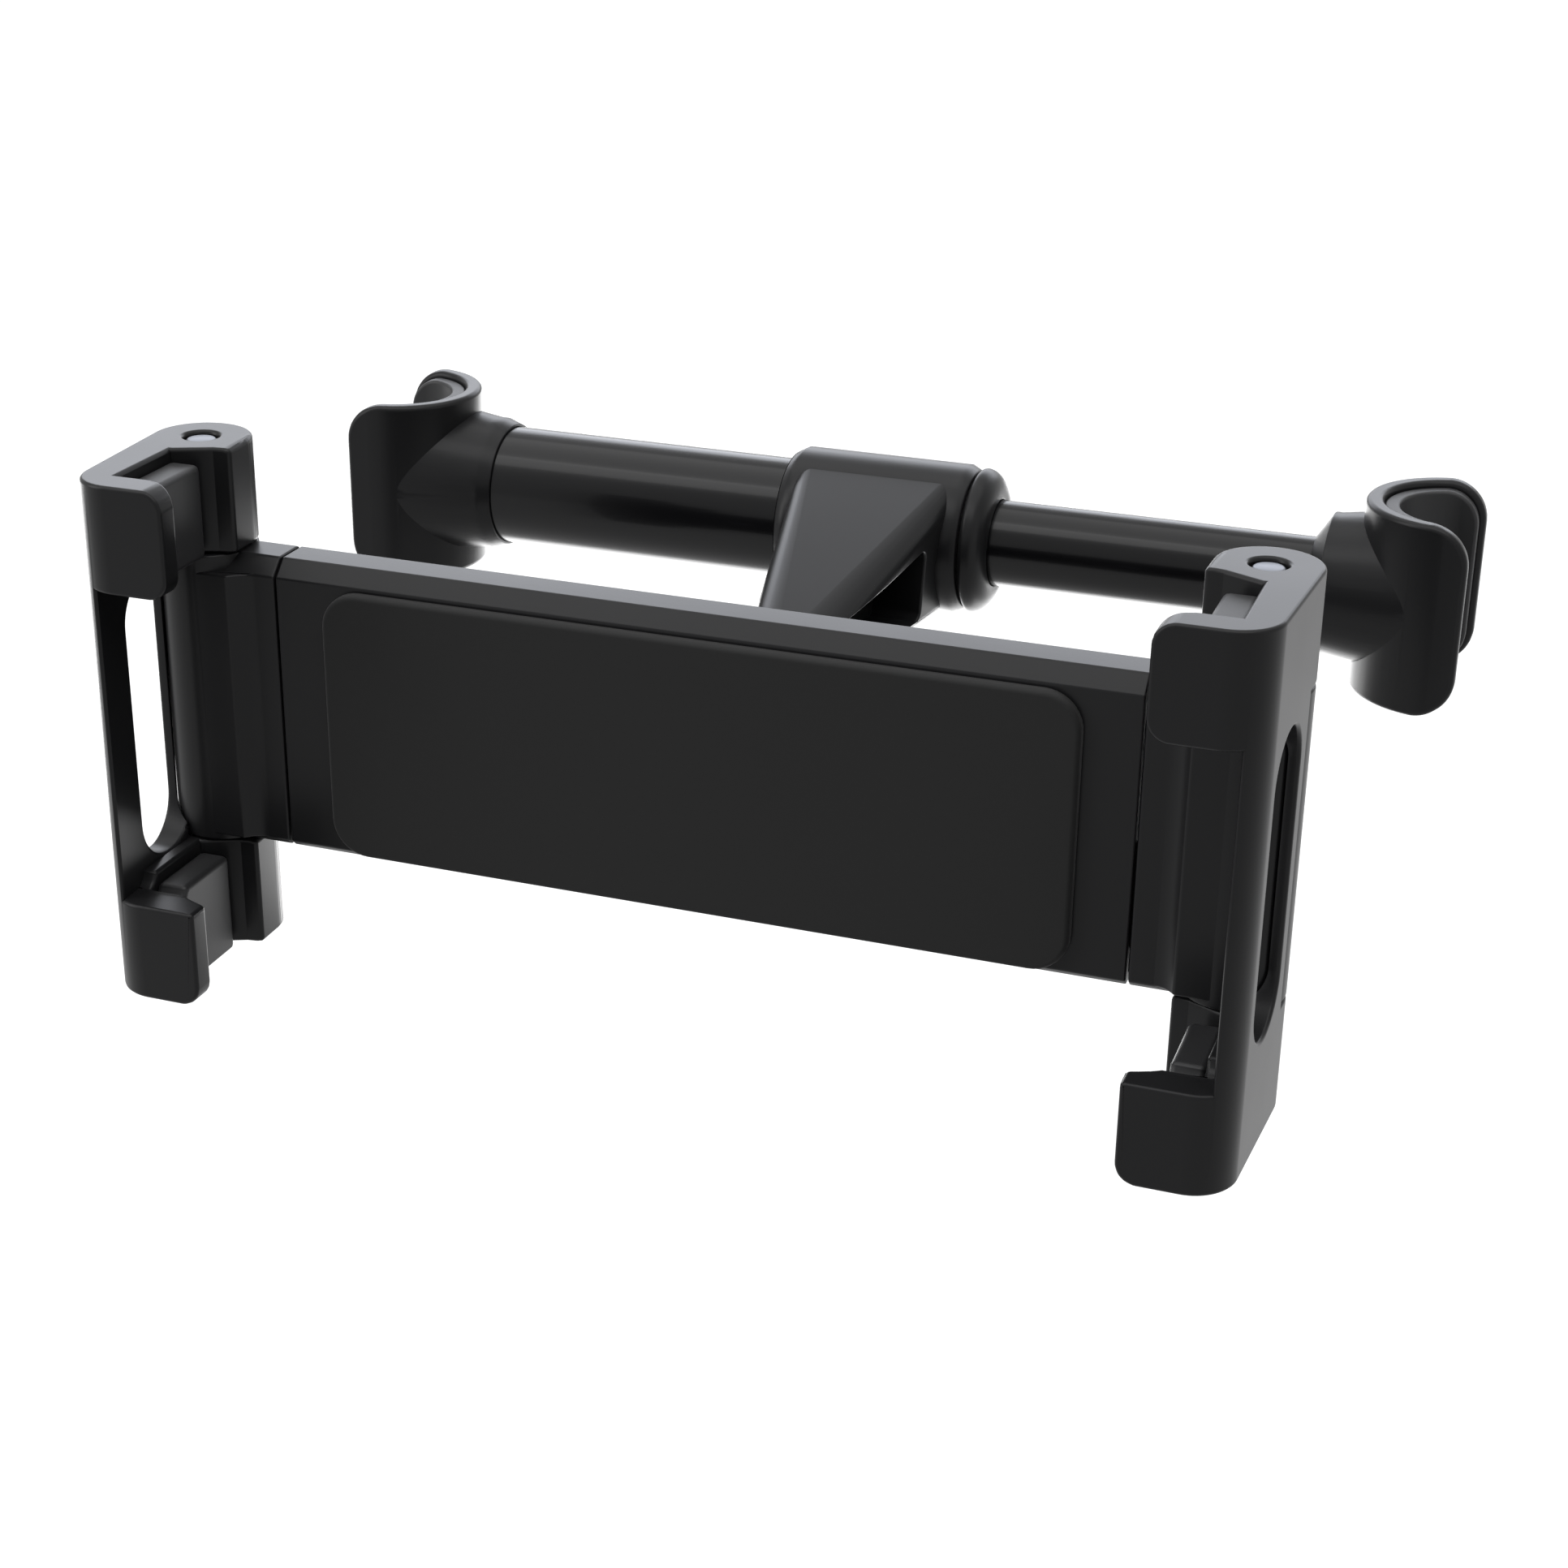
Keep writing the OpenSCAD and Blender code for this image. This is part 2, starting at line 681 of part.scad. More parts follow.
// Close-wound tension spring as a tube with an eye at each end
module spring(lane) {
    at_clamp() translate([0, 0, lane * tongue_z]) difference() {
        tube_x(-spring_in_x + 2, spring_out_x - 2, spring_d / 2);
        tube_x(-spring_in_x, spring_out_x, spring_d / 2 - spring_wire);
    }
}

module left_spring() {
    color(steel) mirror([1, 0, 0]) spring(1);
}

module right_spring() {
    color(steel) spring(-1);
}

// Jaws, modelled on the right-hand side

// Plan in U and V: knuckle, tapered side and rounded front corner
module jaw_outer_plan() {
    hull() {
        circle(r = knuckle_r);
        translate([knuckle_r - plate_draft - corner_r, jaw_front_v - corner_r]) circle(r = corner_r);
        translate([-0.5, jaw_front_v - corner_r]) circle(r = corner_r);
    }
}

module hook_plan() {
    difference() {
        union() {
            jaw_outer_plan();
            translate([-lip_tip, channel_v1 - 0.5]) square([lip_tip - 1, lip_t + 0.5]);
        }
        translate([-lip_tip - 1, channel_v0 + 0.6]) square([lip_tip + 1 + hook_in_u, channel_d - 0.6]);
        polygon([
            [-lip_tip - 1, channel_v0 - 2.4], [-4.4, channel_v0 - 1.6],
            [hook_in_u, channel_v0 + 0.7], [-lip_tip - 1, channel_v0 + 0.7]]);
        polygon([
            [-lip_tip - 1, channel_v1 - 0.1], [-lip_tip - 1, channel_v1 + lip_lead],
            [-lip_tip, channel_v1 + lip_lead], [-lip_tip / 2, channel_v1 - 0.1]]);
    }
}

module jaw_local(h, z0) {
    translate([half_span, 0, z0]) mirror([0, 1, 0]) linear_extrude(h) children();
}

// Rounds the lip's two tip corners, seen along V
module lip_round(h, z0) {
    translate([half_span, 0, z0]) rotate([90, 0, 0]) linear_extrude(far, center = true) {
        translate([-lip_tip + tip_round, 0]) square([far, h]);
        translate([-lip_tip, tip_round]) square([far, h - 2 * tip_round]);
        for (z = [tip_round, h - tip_round]) translate([-lip_tip + tip_round, z]) circle(r = tip_round);
    }
}

module jaw_hook(h, z0) {
    intersection() {
        jaw_local(h, z0) hook_plan();
        lip_round(h, z0);
    }
}

// Side outline that lowers a lower hook's top in a curve from the knuckle to the lip
module rim_outline() {
    offset(r = -rim_curve) offset(r = rim_curve) difference() {
        translate([-far, -far]) square([2 * far, 2 * far + lower_h]);
        translate([channel_v1 - rim_run, lower_h - lip_drop]) square([far, far]);
    }
}

// Cuts its children, which stand on z0, to that outline
module below_rim(z0) {
    intersection() {
        children();
        translate([0, 0, z0]) rotate([90, 0, -90]) linear_extrude(2 * far, center = true) rim_outline();
    }
}

// The lower hook, whose lip is lower than its knuckle
module lower_hook() {
    jaw_hook(lower_h - lip_drop, hinge_low);
    below_rim(hinge_low) jaw_hook(lower_h, hinge_low);
}

// Plan of the side plate, which follows the barrel at its back
module plate_plan() {
    difference() {
        jaw_outer_plan();
        circle(r = knuckle_r + face_gap);
        translate([-far, -far]) square([far + plate_in_u, 2 * far]);
    }
}

module jaw() {
    z0 = hinge_low;
    at_clamp() difference() {
        union() {
            lower_hook();
            jaw_hook(upper_h, hinge_top - upper_h);
            jaw_local(hinge_top - hinge_low, z0) plate_plan();
        }
        translate([half_span, 0, z0 - 1]) cylinder(h = far, r = pin_d / 2 + run_gap);
        for (z = [z0 - 1, hinge_top - pin_recess]) translate([half_span, 0, z])
            cylinder(h = pin_recess + 1, r = pin_d / 2 + 0.35);
        side_slot();
    }
}

// Round-ended slot through the side plate
module side_slot() {
    for (s = [-1, 1]) translate([half_span - 1, -slot_mid_v, slot_mid_z + s * (slot_len - slot_w) / 2])
        rotate([0, 90, 0]) cylinder(h = 2 * knuckle_r, r = slot_w / 2);
    translate([half_span - 1, -slot_mid_v - slot_w / 2, slot_mid_z - (slot_len - slot_w) / 2])
        cube([2 * knuckle_r, slot_w, slot_len - slot_w]);
}

// Soft block on the side wall inside a hook
module jaw_block(h, z0) {
    translate([half_span + hook_in_u - block_t, -channel_v1, z0])
        cube([block_t, channel_d - 0.6, h]);
}

module left_jaw() {
    color(satin_black) mirror([1, 0, 0]) jaw();
}

module right_jaw() {
    color(satin_black) jaw();
}

module upper_block() {
    at_clamp() jaw_block(upper_h - block_drop, hinge_top - upper_h);
}

module lower_block() {
    at_clamp() below_rim(hinge_low - block_drop) jaw_block(lower_h - block_drop, hinge_low);
}

module left_upper_block() {
    color(soft_black) mirror([1, 0, 0]) upper_block();
}

module left_lower_block() {
    color(soft_black) mirror([1, 0, 0]) lower_block();
}

module right_upper_block() {
    color(soft_black) upper_block();
}

module right_lower_block() {
    color(soft_black) lower_block();
}

large_tube();
left_hook();
left_liner();
end_ring();
small_tube();
right_hook();
right_liner();
guide_bush();
neck();
collar_sleeve();
ball_stud();
ball_liner();
lock_nut();
front_shell();
rear_cover();
face_pad();
cover_screws();
left_slide();
right_slide();
left_pin();
right_pin();
left_spring();
right_spring();
left_jaw();
right_jaw();
left_upper_block();
left_lower_block();
right_upper_block();
right_lower_block();
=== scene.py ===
"""Headrest tablet mount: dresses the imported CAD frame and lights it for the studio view.

X runs along the rail, +Y points away from the tablet to the headrest and +Z is up. The origin
lies on the rail's axis, midway between the headrest posts. All sizes in code are in metres, and
MM turns a size that is easier to read in millimetres into metres.
"""

import logging
import math
from dataclasses import dataclass, field
from enum import Enum
from typing import Any

import bmesh
import bpy
from mathutils import Matrix, Vector


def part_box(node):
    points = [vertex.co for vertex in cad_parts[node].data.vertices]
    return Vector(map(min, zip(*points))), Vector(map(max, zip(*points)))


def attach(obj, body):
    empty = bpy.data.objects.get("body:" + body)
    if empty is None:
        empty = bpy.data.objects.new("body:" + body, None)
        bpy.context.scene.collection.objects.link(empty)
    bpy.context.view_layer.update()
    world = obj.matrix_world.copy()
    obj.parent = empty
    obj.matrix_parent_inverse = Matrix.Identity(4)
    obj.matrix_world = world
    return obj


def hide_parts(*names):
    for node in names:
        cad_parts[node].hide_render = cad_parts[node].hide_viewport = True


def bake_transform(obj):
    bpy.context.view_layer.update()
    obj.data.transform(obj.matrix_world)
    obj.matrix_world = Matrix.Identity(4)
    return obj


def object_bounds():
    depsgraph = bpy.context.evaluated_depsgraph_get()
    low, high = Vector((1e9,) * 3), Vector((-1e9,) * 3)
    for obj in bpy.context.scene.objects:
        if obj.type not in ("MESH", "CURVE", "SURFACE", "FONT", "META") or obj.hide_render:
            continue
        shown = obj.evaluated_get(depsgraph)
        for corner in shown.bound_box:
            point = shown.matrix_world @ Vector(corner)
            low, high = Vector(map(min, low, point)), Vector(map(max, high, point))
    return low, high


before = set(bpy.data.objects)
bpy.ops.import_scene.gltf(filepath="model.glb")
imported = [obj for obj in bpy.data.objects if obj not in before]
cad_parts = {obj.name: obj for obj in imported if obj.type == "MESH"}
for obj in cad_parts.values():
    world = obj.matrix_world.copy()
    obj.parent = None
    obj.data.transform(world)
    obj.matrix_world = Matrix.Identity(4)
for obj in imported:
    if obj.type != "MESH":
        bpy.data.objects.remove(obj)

CAD_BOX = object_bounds()
MM = 0.001
SAME_POINT = 0.002 * MM
SAME_CORNER = 0.005 * MM
SAME_AXIS_POINT = 0.001 * MM
SHORT_EDGE = 0.06 * MM
FLAT_TURN = 0.4
CREASE = 32.0
INWARD_CREASE = 14.0
EDGE_SEGMENTS = 3
WHITE = "#ffffff"
LOG = logging.getLogger("headrest_mount")

X_AXIS = Vector((1.0, 0.0, 0.0))
Y_AXIS = Vector((0.0, 1.0, 0.0))
Z_AXIS = Vector((0.0, 0.0, 1.0))


class Side(Enum):
    """The two ends of the mount, as seen from the tablet."""

    LEFT = -1
    RIGHT = 1

    @property
    def word(self) -> str:
        """The side's name as node names spell it."""
        return self.name.lower()


# Materials


def linear(code: str) -> tuple[float, float, float, float]:
    """Turns an sRGB hex colour into linear RGBA.

    Args:
        code: Six hex digits after a hash sign.

    Returns:
        Red, green, blue and an alpha of one.
    """
    parts = [int(code[i : i + 2], 16) / 255 for i in (1, 3, 5)]
    red, green, blue = (p / 12.92 if p <= 0.04045 else ((p + 0.055) / 1.055) ** 2.4 for p in parts)
    return red, green, blue, 1.0


def add_node(
    tree: bpy.types.NodeTree,
    kind: str,
    values: dict[str | int, Any] | None = None,
    links: dict[str | int, bpy.types.NodeSocket] | None = None,
    **settings: Any,
) -> bpy.types.Node:
    """Adds a node with its settings, input values and links.

    Args:
        tree: The node tree that gets the node.
        kind: The node's type name.
        values: Input values by socket name or index.
        links: Output sockets to link to inputs, by socket name or index.
        **settings: Properties of the node itself.

    Returns:
        The new node.
    """
    node = tree.nodes.new(kind)
    for key, value in settings.items():
        setattr(node, key, value)
    for key, value in (values or {}).items():
        node.inputs[key].default_value = value
    for key, socket in (links or {}).items():
        tree.links.new(socket, node.inputs[key])
    return node


@dataclass(frozen=True)
class Finish:
    """One real material and how its surface was made.

    Attributes:
        name: The material's name in Blender.
        slot: The record's material slot; not used by this script.
        colour: The main colour as sRGB hex.
        tint: The colour that the main one drifts to across the surface.
        roughness: Roughness of the surface, and the centre of its drift.
        drift: How far the roughness drifts either way.
        grain_mm: Size of one grain of the surface texture.
        grain_depth_mm: Depth of that texture.
        stretch: Scale of the grain along X, Y and Z, under one for lines.
        metallic: One for bare metal.
        ior: Index of refraction.
        specular: Specular level, with 0.5 as Blender's plain value.
        coat: Weight of a clear coat.
        sheen: Weight of a soft sheen.
        coat_roughness: Roughness of the clear coat.
        sheen_roughness: Roughness of the sheen.
        cloud_scale: Scale of the slow drift of colour and roughness, about 22 mm across.
    """

    name: str
    slot: str
    colour: str
    tint: str
    roughness: float
    drift: float
    grain_mm: float
    grain_depth_mm: float
    stretch: tuple[float, float, float] = (1.0, 1.0, 1.0)
    metallic: float = 0.0
    ior: float = 1.5
    specular: float = 0.5
    coat: float = 0.0
    sheen: float = 0.0
    coat_roughness: float = 0.08
    sheen_roughness: float = 0.4
    cloud_scale: float = 45.0

    def material(self) -> bpy.types.Material:
        """Makes the material once and returns it on each later call."""
        known = bpy.data.materials.get(self.name)
        if known:
            return known
        made = bpy.data.materials.new(self.name)
        made.use_nodes = True
        tree = made.node_tree
        tree.nodes.clear()
        place = add_node(tree, "ShaderNodeTexCoord").outputs["Object"]
        lay = add_node(tree, "ShaderNodeMapping", {"Scale": self.stretch}, {"Vector": place})
        grain = add_node(
            tree,
            "ShaderNodeTexNoise",
            {"Scale": 1 / (self.grain_mm * MM), "Detail": 2.0, "Roughness": 0.55},
            {"Vector": lay.outputs["Vector"]},
        )
        cloud = add_node(
            tree, "ShaderNodeTexNoise", {"Scale": self.cloud_scale, "Detail": 3.0}, {"Vector": place}
        )
        spread = add_node(
            tree,
            "ShaderNodeMapRange",
            {"To Min": self.roughness - self.drift, "To Max": self.roughness + self.drift},
            {"Value": cloud.outputs["Fac"]},
        )
        blend = add_node(
            tree,
            "ShaderNodeMix",
            {6: linear(self.colour), 7: linear(self.tint)},
            {0: cloud.outputs["Fac"]},
            data_type="RGBA",
        )
        bump = add_node(
            tree,
            "ShaderNodeBump",
            {"Strength": 1.0, "Distance": self.grain_depth_mm * MM},
            {"Height": grain.outputs["Fac"]},
        )
        shader = add_node(
            tree,
            "ShaderNodeBsdfPrincipled",
            {
                "Metallic": self.metallic,
                "IOR": self.ior,
                "Specular IOR Level": self.specular,
                "Coat Weight": self.coat,
                "Coat Roughness": self.coat_roughness,
                "Sheen Weight": self.sheen,
                "Sheen Roughness": self.sheen_roughness,
            },
            {
                "Base Color": blend.outputs[2],
                "Roughness": spread.outputs["Result"],
                "Normal": bump.outputs["Normal"],
            },
        )
        add_node(tree, "ShaderNodeOutputMaterial", links={"Surface": shader.outputs["BSDF"]})
        return made


# Moulded ABS with a fine spark-eroded grain: near black, with a soft satin light on its rounds.
# The real grain is about 0.05 mm and is drawn at 0.35 mm so that it shows. The specular level is
# low here, on the tube and on the rubbers, because each of them also mirrors the white room.
SATIN_ABS = Finish(
    "satin_abs", "satin_black", "#1a1a1b", "#1d1d1e", 0.32, 0.03, 0.35, 0.003, specular=0.13
)
# Drawn aluminium tube, anodised black and polished: bands of light along its length.
# The drawing lines run along the tube, so the grain is stretched along X.
ANODISED_TUBE = Finish(
    "anodised_tube",
    "tube_black",
    "#08080a",
    "#0b0b0c",
    0.24,
    0.02,
    0.25,
    0.001,
    (0.04, 1.0, 1.0),
    specular=0.15,
    coat=0.1,
)
# Moulded silicone rubber with a dull, slightly dusty face.
SILICONE = Finish(
    "silicone_rubber", "soft_rubber", "#252525", "#282828", 0.72, 0.04, 0.5, 0.01, specular=0.15, sheen=0.1
)
# Softer thermoplastic rubber of the liners and jaw blocks, smoother than the face pad.
SOFT_TPE = Finish(
    "soft_tpe", "soft_rubber", "#222223", "#272728", 0.46, 0.05, 0.4, 0.006, specular=0.25
)
# Turned acetal of the bush, sleeve and liner inside: dark grey with a waxy light.
TURNED_ACETAL = Finish(
    "turned_acetal", "inner_plastic", "#3c3c3e", "#444446", 0.42, 0.03, 0.3, 0.003
)
# Ground steel of the hinge pins, the ball and the screws: grey, with fine lines that run along Z,
# which is the length of the pins.
GROUND_STEEL = Finish(
    "ground_steel", "steel", "#6a6d74", "#777a80", 0.45, 0.04, 0.3, 0.002, (1.0, 1.0, 0.08), metallic=1.0
)
# Drawn spring wire, brighter than the ground pieces.
SPRING_WIRE = Finish(
    "spring_wire", "steel", "#a8a9ac", "#b6b7ba", 0.26, 0.04, 0.2, 0.001, metallic=1.0
)


# Mesh tools


def merged_copy(node: str) -> bmesh.types.BMesh:
    """Copies a CAD node's mesh with its shortest edges closed up and its flat faces whole.

    Args:
        node: The CAD node's name.

    Returns:
        A bmesh in the row frame.
    """
    mesh = bmesh.new()
    mesh.from_mesh(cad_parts[node].data)
    bmesh.ops.remove_doubles(mesh, verts=mesh.verts, dist=SAME_POINT)
    bmesh.ops.dissolve_degenerate(mesh, edges=mesh.edges, dist=SHORT_EDGE)
    bmesh.ops.dissolve_limit(
        mesh,
        angle_limit=math.radians(FLAT_TURN),
        verts=mesh.verts,
        edges=mesh.edges,
        use_dissolve_boundaries=False,
    )
    return mesh


def round_edges(
    mesh: bmesh.types.BMesh, radius: float, along: tuple[float, float] | None = None
) -> None:
    """Rounds every outward edge that turns more than CREASE degrees.

    Inward edges stay as they are, because a bevel there folds over where the CAD surfaces meet.

    Args:
        mesh: The bmesh to change.
        radius: Radius of the rounding.
        along: Range of X, on either side of the middle, that is rounded, or None for all.
    """
    limit = math.radians(CREASE)
    edges = [e for e in mesh.edges if e.is_manifold and e.is_convex and e.calc_face_angle() > limit]
    if along:
        edges = [e for e in edges if all(along[0] < abs(v.co.x) < along[1] for v in e.verts)]
    bmesh.ops.bevel(
        mesh,
        geom=edges,
        offset=radius,
        offset_type="OFFSET",
        affect="EDGES",
        segments=EDGE_SEGMENTS,
        profile=0.5,
        material=-1,
        clamp_overlap=False,
        loop_slide=False,
    )
    bmesh.ops.remove_doubles(mesh, verts=mesh.verts, dist=SAME_CORNER)
    bmesh.ops.dissolve_degenerate(mesh, edges=mesh.edges, dist=SAME_CORNER)


def lathe(
    profile: list[tuple[float, float]], centre: Vector, axis: Vector, steps: int, closed: bool = True
) -> bmesh.types.BMesh:
    """Turns a profile round an axis.

    Args:
        profile: Points as distance along the axis and radius.
        centre: The point on the axis that distances count from.
        axis: Unit vector along the axis.
        steps: Faces round the axis.
        closed: True if the profile's last point joins its first.

    Returns:
        A bmesh in the row frame.
    """
    mesh = bmesh.new()
    out = Z_AXIS if abs(axis.z) < 0.5 else X_AXIS
    points = [mesh.verts.new(centre + axis * along + out * radius) for along, radius in profile]
    pairs = list(zip(points, points[1:]))
    if closed:
        pairs.append((points[-1], points[0]))
    edges = [mesh.edges.new(pair) for pair in pairs]
    bmesh.ops.spin(
        mesh,
        geom=points + edges,
        cent=centre,
        axis=axis,
        dvec=(0, 0, 0),
        angle=math.tau,
        steps=steps,
        use_merge=True,
        use_duplicate=False,
    )
    bmesh.ops.remove_doubles(mesh, verts=mesh.verts, dist=SAME_AXIS_POINT)
    bmesh.ops.recalc_face_normals(mesh, faces=mesh.faces)
    return mesh


def box_mesh(low: Vector, high: Vector) -> bmesh.types.BMesh:
    """Makes a box between two corners.

    Args:
        low: The lowest corner.
        high: The highest corner.

    Returns:
        A bmesh in the row frame.
    """
    mesh = bmesh.new()
    size = high - low
    bmesh.ops.create_cube(
        mesh, size=1.0, matrix=Matrix.Translation((low + high) / 2) @ Matrix.Diagonal((*size, 1.0))
    )
    return mesh


# Sub-assemblies


@dataclass
class SubAssembly:
    """Pieces that are made and dressed together.

    Attributes:
        pieces: The finished objects, in the order in which they were made.
    """

    pieces: list[bpy.types.Object] = field(default_factory=list)

    def place(
        self,
        mesh: bmesh.types.BMesh,
        name: str,
        finish: Finish,
        nodes: tuple[str, ...],
        sharp: float = CREASE,
    ) -> bpy.types.Object:
        """Turns a bmesh into a finished piece that stands for CAD nodes.

        Args:
            mesh: The bmesh, which is freed.
            name: The piece's name.
            finish: What the piece is made of.
            nodes: The CAD nodes that it replaces.
            sharp: Smallest turn in degrees that still looks sharp.

        Returns:
            The new object, not yet riding on a body.
        """
        limit = math.radians(INWARD_CREASE)
        mesh.edges.index_update()
        inward = [
            e.index for e in mesh.edges if e.is_manifold and not e.is_convex and e.calc_face_angle() > limit
        ]
        data = bpy.data.meshes.new(name)
        mesh.to_mesh(data)
        mesh.free()
        data.shade_smooth()
        data.set_sharp_from_angle(angle=math.radians(sharp))
        for edge in inward:
            data.edges[edge].use_edge_sharp = True
        data.materials.append(finish.material())
        piece = bpy.data.objects.new(name, data)
        bpy.context.scene.collection.objects.link(piece)
        level = piece.modifiers.new("level_faces", "WEIGHTED_NORMAL")
        level.keep_sharp = True
        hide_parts(*nodes)
        self.pieces.append(piece)
        LOG.info("%s: %d faces", name, len(data.polygons))
        return piece

    def rounded(self, node: str, finish: Finish, body: str, radius_mm: float) -> bpy.types.Object:
        """Replaces a CAD node by a copy with rounded edges.

        Args:
            node: The CAD node's name.
            finish: What the piece is made of.
            body: The body that it rides on.
            radius_mm: Radius of its edges.

        Returns:
            The new object.
        """
        mesh = merged_copy(node)
        round_edges(mesh, radius_mm * MM)
        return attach(self.place(mesh, f"{node}_skin", finish, (node,)), body)

    def dress(self, node: str, finish: Finish) -> None:
        """Gives a CAD node that stays its material.

        Args:
            node: The CAD node's name.
            finish: What the node is made of.
        """
        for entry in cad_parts[node].material_slots:
            entry.link = "OBJECT"
            entry.material = finish.material()
        LOG.info("%s: kept from the frame", node)


@dataclass
class Rail(SubAssembly):
    """The two telescopic tubes with their saddles, liners, end ring and guide bush.

    Attributes:
        tube_wall: Wall of the wide tube.
        rod_wall: Wall of the narrow tube.
        rim: Rounding of the tubes' ends.
        tube_steps: Faces round a tube.
        hook_edge_mm: Radius of the saddles' edges.
        mouth_len: Length of the socket mouth with the finer edges.
        mouth_edge: Radius of the edges there.
        liner_edge_mm: Radius of the liners' edges.
        ring_edge_mm: Radius of the end ring's edges.
    """

    tube_wall: float = 1.2 * MM
    rod_wall: float = 1.0 * MM
    rim: float = 0.25 * MM
    tube_steps: int = 128
    hook_edge_mm: float = 0.8
    mouth_len: float = 3.0 * MM
    mouth_edge: float = 0.12 * MM
    liner_edge_mm: float = 0.5
    ring_edge_mm: float = 0.3

    def tube(self, node: str, wall: float, body: str) -> None:
        """Turns one tube with rounded rims.

        Args:
            node: The CAD node that it stands for.
            wall: The tube's wall.
            body: The body that it rides on.
        """
        low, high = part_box(node)
        radius = high.z
        mesh = lathe(
            [(low.x, radius), (high.x, radius), (high.x, radius - wall), (low.x, radius - wall)],
            Vector((0, 0, 0)),
            X_AXIS,
            self.tube_steps,
        )
        round_edges(mesh, self.rim)
        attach(self.place(mesh, f"{node}_skin", ANODISED_TUBE, (node,)), body)

    def saddle(self, node: str, body: str) -> None:
        """Rounds a saddle's edges, with a finer radius at its thin socket mouth.

        Args:
            node: The CAD node that it stands for.
            body: The body that it rides on.
        """
        mesh = merged_copy(node)
        mouth = min(abs(v.co.x) for v in mesh.verts) + self.mouth_len
        round_edges(mesh, self.hook_edge_mm * MM, along=(mouth, 1.0))
        round_edges(mesh, self.mouth_edge, along=(0.0, mouth))
        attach(self.place(mesh, f"{node}_skin", SATIN_ABS, (node,)), body)

    def build(self) -> None:
        """Makes every piece of the rail."""
        self.tube("large_tube", self.tube_wall, "rail")
        self.tube("small_tube", self.rod_wall, "extension")
        for side, body in ((Side.LEFT, "rail"), (Side.RIGHT, "extension")):
            self.saddle(f"{side.word}_hook", body)
            self.rounded(f"{side.word}_liner", SOFT_TPE, body, self.liner_edge_mm)
        self.rounded("end_ring", SATIN_ABS, "rail", self.ring_edge_mm)
        self.dress("guide_bush", TURNED_ACETAL)


@dataclass
class NeckAndBall(SubAssembly):
    """The collar with its arm, the ball joint and the lock nut.

    Attributes:
        arm_edge_mm: Radius of the arm's edges.
        nut_edge_mm: Radius of the nut's edges.
    """

    arm_edge_mm: float = 0.35
    nut_edge_mm: float = 0.25

    def build(self) -> None:
        """Makes every piece between the rail and the clamp."""
        self.rounded("neck", SATIN_ABS, "neck", self.arm_edge_mm)
        self.rounded("lock_nut", SATIN_ABS, "lock_nut", self.nut_edge_mm)
        self.dress("collar_sleeve", TURNED_ACETAL)
        self.dress("ball_stud", GROUND_STEEL)
        self.dress("ball_liner", TURNED_ACETAL)


